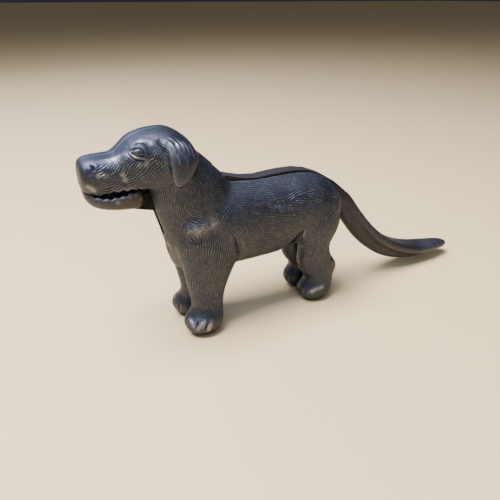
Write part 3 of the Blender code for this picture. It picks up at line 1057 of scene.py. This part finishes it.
def makeLever():
    bm = bmesh.new()
    for part, power in leverForm["powers"].items():
        addLoft(bm, onMiddle(leverForm[part]), lean=0 if part == "jaw" else None, power=power)
    lever = meshObject("jawAndTail", bm)
    runTogether(lever, leverForm["voxel"], leverForm["softRounds"])
    low = mouthForm["rimDepth"]
    rim = scallops([(x, z - low) for x, z in mouthForm["rim"]], low)
    cutBy(lever, plate("jawTeeth", rim + [(32.0, 108.0), (-4.0, 108.0)], mouthForm["rimCut"]))
    hollow = [(x, z - mouthForm["rimHeight"]) for x, z in rim if 4 < x < 27]
    hollow += [(27.0, 108.0), (4.0, 108.0)]
    cutBy(lever, plate("jawHollow", hollow, mouthForm["hollowHalf"]))
    runTogether(lever, leverForm["edgeVoxel"], 2)
    cutBy(lever, plate("bar", barForm["lower"] + barForm["upper"], barHalf), "UNION")
    radius, length = carving["trunnion"]
    cutBy(lever, rod("trunnions", *carving["pivot"], radius, barHalf + length), "UNION")
    refine(lever, 0)
    return lever


lever = makeLever()
setAttribute(lever.data, "relief", reliefOf(lever.data, 6))
leverPoints = getPoints(lever.data)
leverX, leverY, leverZ = leverPoints.T
jawStart, jawStop = leverForm["jawEnd"]
wear = 0.05 * ease(-leverX, -jawStop, -jawStart) + 0.2 * ease(leverX, *leverForm["tailEnd"])
wear = np.maximum(wear, 0.5 * patch(leverPoints, leverForm["jawSpecks"], 1.2))
setAttribute(lever.data, "rubbed", wear)
# painted shade darkens the web where the halves hide it, and the bar's top, which is rusty as well
hidden = (abs(leverY) < 4.8) & (leverX > 4) & (leverX < 76)
onBack = ease(leverX, 72, 80) * ease(-leverX, -178, -166) * ease(leverZ, 56, 62)
onBack *= abs(leverY) < 4.6
setAttribute(lever.data, "inside", np.maximum(hidden, 0.8 * onBack))
rusty = np.maximum(patch(leverPoints, leverForm["jawRust"], 5.0), onBack)
setAttribute(lever.data, "rusty", rusty)
report(f"lever: {countTriangles(lever.data)} triangles")


def mirrored(thing, name):
    twin = thing.copy()
    twin.data = thing.data.copy()
    twin.name = name
    twin.data.name = name
    bpy.context.scene.collection.objects.link(twin)
    setPoints(twin.data, getPoints(thing.data) * (1, -1, 1))
    twin.data.flip_normals()
    return twin


def shadeSmooth(thing, degrees=50):
    # rounded forms read as one surface, cut edges stay crisp
    thing.data.shade_smooth()
    bm = bmesh.new()
    bm.from_mesh(thing.data)
    limit = math.radians(degrees)
    for edge in bm.edges:
        edge.smooth = len(edge.link_faces) == 2 and edge.calc_face_angle(0) < limit
    bm.to_mesh(thing.data)
    bm.free()


dogRight = mirrored(dogLeft, "bodyRight")
for thing in (dogLeft, dogRight, lever):
    shadeSmooth(thing)
    setPoints(thing.data, toFrame(getPoints(thing.data)))


def linear(code):
    parts = [int(code[i : i + 2], 16) / 255 for i in (1, 3, 5)]
    return [p / 12.92 if p <= 0.04045 else ((p + 0.055) / 1.055) ** 2.4 for p in parts] + [1.0]


def addNode(tree, kind, settings=None, inputs=None, output=0):
    # settings are the node's own values; inputs are numbers, colours or other nodes' outputs
    made = tree.nodes.new("ShaderNode" + kind)
    for name, value in (settings or {}).items():
        setattr(made, name, value)
    for name, value in (inputs or {}).items():
        if isinstance(value, bpy.types.NodeSocket):
            tree.links.new(value, made.inputs[name])
        else:
            made.inputs[name].default_value = value
    return made.outputs[output] if made.outputs else made


def newMaterial(name):
    made = bpy.data.materials.new(name)
    made.use_nodes = True
    made.node_tree.nodes.clear()
    return made, made.node_tree


ironFinish = {
    "ground": "#373b48",  # dark bronzing, bluish grey where the light falls on it
    "cool": "#363d49",  # patches where it has worn thinner
    "groove": "#151312",  # near black: the hollows and fur valleys are darkened with it, and it is painted shade on the faces the halves hide
    "rubbed": "#93949a",  # bare metal on what hands and tables touch; also the colour of the painted glints and of the shoulder's painted highlight
    "rust": "#67503f",
    "metallic": 0.9,
    "roughness": (0.46, 0.55),  # on the smooth patches and on the rough ones
    "bump": (0.7, 0.00022),  # strength, and height in metres
    # mm across, and how much fine detail each has
    "patterns": {
        "patches": (14.0, 3.0),
        "specks": (2.2, 4.0),
        "grain": (0.7, 2.0),  # the skin of a sand casting, and where the painted glints fall
        "bends": (4.0, 2.0),  # how strands of the fur wander
        "breaks": (3.0, 3.0),  # how far a strand runs before it fades
        "pits": (0.9, 2.0),  # rust
    },
    # each value in turn: its name, the node that makes it and how, and what goes in
    "working": [
        ("phase", "Math", "ARCTAN2", "combSin", "combCos"),
        ("bend", "Math", "SUBTRACT", "bends", 0.5),
        ("phase", "Math", "MULTIPLY_ADD", "bend", 2.4, "phase"),
        ("strand", "Math", "COSINE", "phase"),
        ("strand", "Math", "ABSOLUTE", "strand"),  # two strands in each wave of the combing
        ("crest", "MapRange", "SMOOTHSTEP", "strand", 0.6, 0.12, 0.0, 1.0),
        ("crest", "Math", "MULTIPLY", "crest", "fur"),
        ("broken", "MapRange", "SMOOTHSTEP", "breaks", 0.36, 0.64, 0.1, 1.25),
        ("crest", "Math", "MULTIPLY", "crest", "broken"),
        ("valley", "MapRange", "SMOOTHSTEP", "strand", 0.4, 0.95, 0.0, 1.0),
        ("valley", "Math", "MULTIPLY", "valley", "fur"),
        ("thin", "MapRange", "SMOOTHSTEP", "patches", 0.38, 0.62, 0.0, 1.0),
        ("rustSpecks", "MapRange", "SMOOTHSTEP", "specks", 0.5, 0.74, 0.0, 1.0),
        ("rustSpecks", "Math", "MULTIPLY", "rustSpecks", 0.34),
        ("rustPits", "MapRange", "SMOOTHSTEP", "pits", 0.42, 0.62, 0.0, 1.0),
        ("rust", "Math", "MULTIPLY", "rusty", "rustPits"),
        ("wornSpecks", "MapRange", "SMOOTHSTEP", "specks", 0.25, 0.6, 0.35, 1.0),
        ("worn", "Math", "MULTIPLY", "rubbed", "wornSpecks"),
        ("edges", "MapRange", "SMOOTHSTEP", "relief", 0.15, 1.0, 0.0, 1.0),
        ("worn", "Math", "MULTIPLY_ADD", "edges", 0.25, "worn"),
        ("worn", "Math", "MULTIPLY_ADD", "crest", 0.3, "worn"),
        # painted glints: the brightest specks of the grain are lightened towards bare metal
        ("brightGrain", "MapRange", "SMOOTHSTEP", "grain", 0.54, 0.76, 0.0, 0.24),
        ("worn", "Math", "ADD", "worn", "brightGrain"),
        ("hollows", "MapRange", "SMOOTHSTEP", "relief", -0.15, -1.0, 0.0, 1.0),
        ("valley", "Math", "MULTIPLY", "valley", 0.4),
        ("dirt", "Math", "MAXIMUM", "hollows", "valley"),
        ("darkGrain", "MapRange", "SMOOTHSTEP", "grain", 0.42, 0.22, 0.0, 0.35),
        ("dirt", "Math", "MAXIMUM", "dirt", "darkGrain"),
        # painted shade on the faces that the halves hide
        ("dirt", "Math", "MAXIMUM", "dirt", "inside"),
        ("covered", "Math", "MULTIPLY", "dirt", 0.85),
        ("grainHeight", "Math", "MULTIPLY", "grain", 0.75),
        ("height", "Math", "MULTIPLY_ADD", "crest", 0.9, "grainHeight"),
        ("roughness", "MapRange", "SMOOTHSTEP", "patches", 0.35, 0.65, "smooth", "rough"),
        ("grainLevel", "Math", "SUBTRACT", "grain", 0.5),
        ("roughness", "Math", "MULTIPLY_ADD", "grainLevel", 0.25, "roughness"),
        ("roughness", "Math", "MULTIPLY_ADD", "dirt", 0.2, "roughness"),
        ("roughness", "Math", "MULTIPLY_ADD", "worn", -0.08, "roughness"),
        ("roughness", "Math", "MULTIPLY_ADD", "rust", 0.25, "roughness"),
    ],
    # laid over the ground in this order: how much of it, and the colour
    "layers": [
        ("thin", "cool"),
        ("rustSpecks", "rust"),
        ("rust", "rust"),
        ("worn", "rubbed"),
        ("covered", "groove"),
    ],
}


# the lever is handled less evenly: a darker tail, rust on the bar and the jaw
leverFinish = {
    **ironFinish,
    "ground": "#35363d",
    "cool": "#343842",
    "rust": "#54453c",
    "roughness": (0.5, 0.6),
}


def bronzedCastIron(name, finish):
    # sand-cast iron, bronzed and waxed: satin and dark with a fine grain, and bare grey metal where it
    # is handled;
    # the grain also carries painted glints, and faces the halves hide get painted shade
    made, tree = newMaterial(name)
    where = addNode(tree, "TexCoord", output="Object")
    found = dict(zip(("smooth", "rough"), finish["roughness"]))
    for mark in ("relief", "rubbed", "rusty", "fur", "combSin", "combCos", "inside"):
        found[mark] = addNode(tree, "Attribute", {"attribute_name": mark}, output="Fac")
    for pattern, (size, detail) in finish["patterns"].items():
        inputs = {"Vector": where, "Scale": 1000 / size, "Detail": detail}
        found[pattern] = addNode(tree, "TexNoise", {}, inputs)
    wayNames = {"Math": "operation", "MapRange": "interpolation_type"}
    for value, kind, way, *sources in finish["working"]:
        inputs = {i: found[s] if isinstance(s, str) else s for i, s in enumerate(sources)}
        found[value] = addNode(tree, kind, {wayNames[kind]: way}, inputs)

    colour = linear(finish["ground"])
    for share, layer in finish["layers"]:
        inputs = {0: found[share], 6: colour, 7: linear(finish[layer])}
        colour = addNode(tree, "Mix", {"data_type": "RGBA"}, inputs, output=2)
    strength, distance = finish["bump"]
    inputs = {"Strength": strength, "Distance": distance, "Height": found["height"]}
    inputs = {
        "Base Color": colour,
        "Metallic": finish["metallic"],
        "Roughness": found["roughness"],
        "Normal": addNode(tree, "Bump", {}, inputs),
    }
    addNode(tree, "OutputMaterial", {}, {"Surface": addNode(tree, "BsdfPrincipled", {}, inputs)})
    return made


bodyIron = bronzedCastIron("bronzedCastIron", ironFinish)
leverIron = bronzedCastIron("wornLeverIron", leverFinish)
for thing, iron in ((dogLeft, bodyIron), (dogRight, bodyIron), (lever, leverIron)):
    thing.data.materials.clear()
    thing.data.materials.append(iron)

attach(dogLeft, "dog_body")
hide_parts("body_left")
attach(dogRight, "dog_body")
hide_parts("body_right")
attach(lever, "lever")
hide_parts("jaw_and_tail_lever")

stageSetup = {
    "floorColour": "#dcc391",
    "floorRoughness": 0.6,
    "floorSize": 40.0,
    "front": "#e6e9f2",  # what the near side mirrors
    "back": "#5b6270",  # what the nape and rump mirror
    "awayFrom": (0.72, 0.62, -0.3),
    "blend": (-0.2, 0.75),  # from front to back
    "worldStrength": 0.2,
    # place, size, watts, colour
    "lamps": {
        "overhead": ((-0.4, 0.02, 1.08), 0.62, 57, "#e4e4ef"),
        "window": ((-0.15, -0.5, 0.95), 0.8, 4.5, "#cfe0ff"),
        "behind": ((-0.3, 0.95, 0.72), 0.8, 5, "#bcd0ff"),
    },
    "aim": (0, 0, 0.06),
    "focal": 34.56,
    "place": (-0.16532, -0.25008, 0.19051),
    "turn": 26.38,
    "down": 27.85,
}


def addLamp(name, place, size, power, colour):
    light = bpy.data.lights.new(name, "AREA")
    light.energy = power
    light.size = size
    light.color = linear(colour)[:3]
    lamp = bpy.data.objects.new(name, light)
    lamp.location = place
    way = Vector(stageSetup["aim"]) - lamp.location
    lamp.rotation_euler = way.to_track_quat("-Z", "Y").to_euler()
    bpy.context.scene.collection.objects.link(lamp)


def buildStage():
    bm = bmesh.new()
    bmesh.ops.create_grid(bm, x_segments=1, y_segments=1, size=stageSetup["floorSize"] / 2)
    floor = meshObject("floor", bm)
    made, tree = newMaterial("paleFloor")
    colour, roughness = linear(stageSetup["floorColour"]), stageSetup["floorRoughness"]
    inputs = {"Base Color": colour, "Roughness": roughness}
    addNode(tree, "OutputMaterial", {}, {"Surface": addNode(tree, "BsdfPrincipled", {}, inputs)})
    floor.data.materials.append(made)

    # surroundings that go from bright in front to dim behind
    world = bpy.data.worlds.new("softRoom")
    world.use_nodes = True
    tree = world.node_tree
    inputs = {0: addNode(tree, "TexCoord", output="Generated"), 1: stageSetup["awayFrom"]}
    facing = addNode(tree, "VectorMath", {"operation": "DOT_PRODUCT"}, inputs, output="Value")
    low, high = stageSetup["blend"]
    inputs = {"Value": facing, "From Min": low, "From Max": high}
    share = addNode(tree, "MapRange", {"interpolation_type": "SMOOTHSTEP"}, inputs)
    inputs = {0: share, 6: linear(stageSetup["front"]), 7: linear(stageSetup["back"])}
    colour = addNode(tree, "Mix", {"data_type": "RGBA"}, inputs, output=2)
    background = tree.nodes["Background"]
    tree.links.new(colour, background.inputs["Color"])
    background.inputs["Strength"].default_value = stageSetup["worldStrength"]
    bpy.context.scene.world = world

    for name, lamp in stageSetup["lamps"].items():
        addLamp(name, *lamp)

    lens = bpy.data.cameras.new("view")
    lens.sensor_width = 36
    lens.lens = stageSetup["focal"]
    camera = bpy.data.objects.new("view", lens)
    camera.location = stageSetup["place"]
    down, turn = math.radians(90 - stageSetup["down"]), -math.radians(stageSetup["turn"])
    camera.rotation_euler = (down, 0, turn)
    bpy.context.scene.collection.objects.link(camera)
    bpy.context.scene.camera = camera


buildStage()
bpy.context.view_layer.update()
report("done")
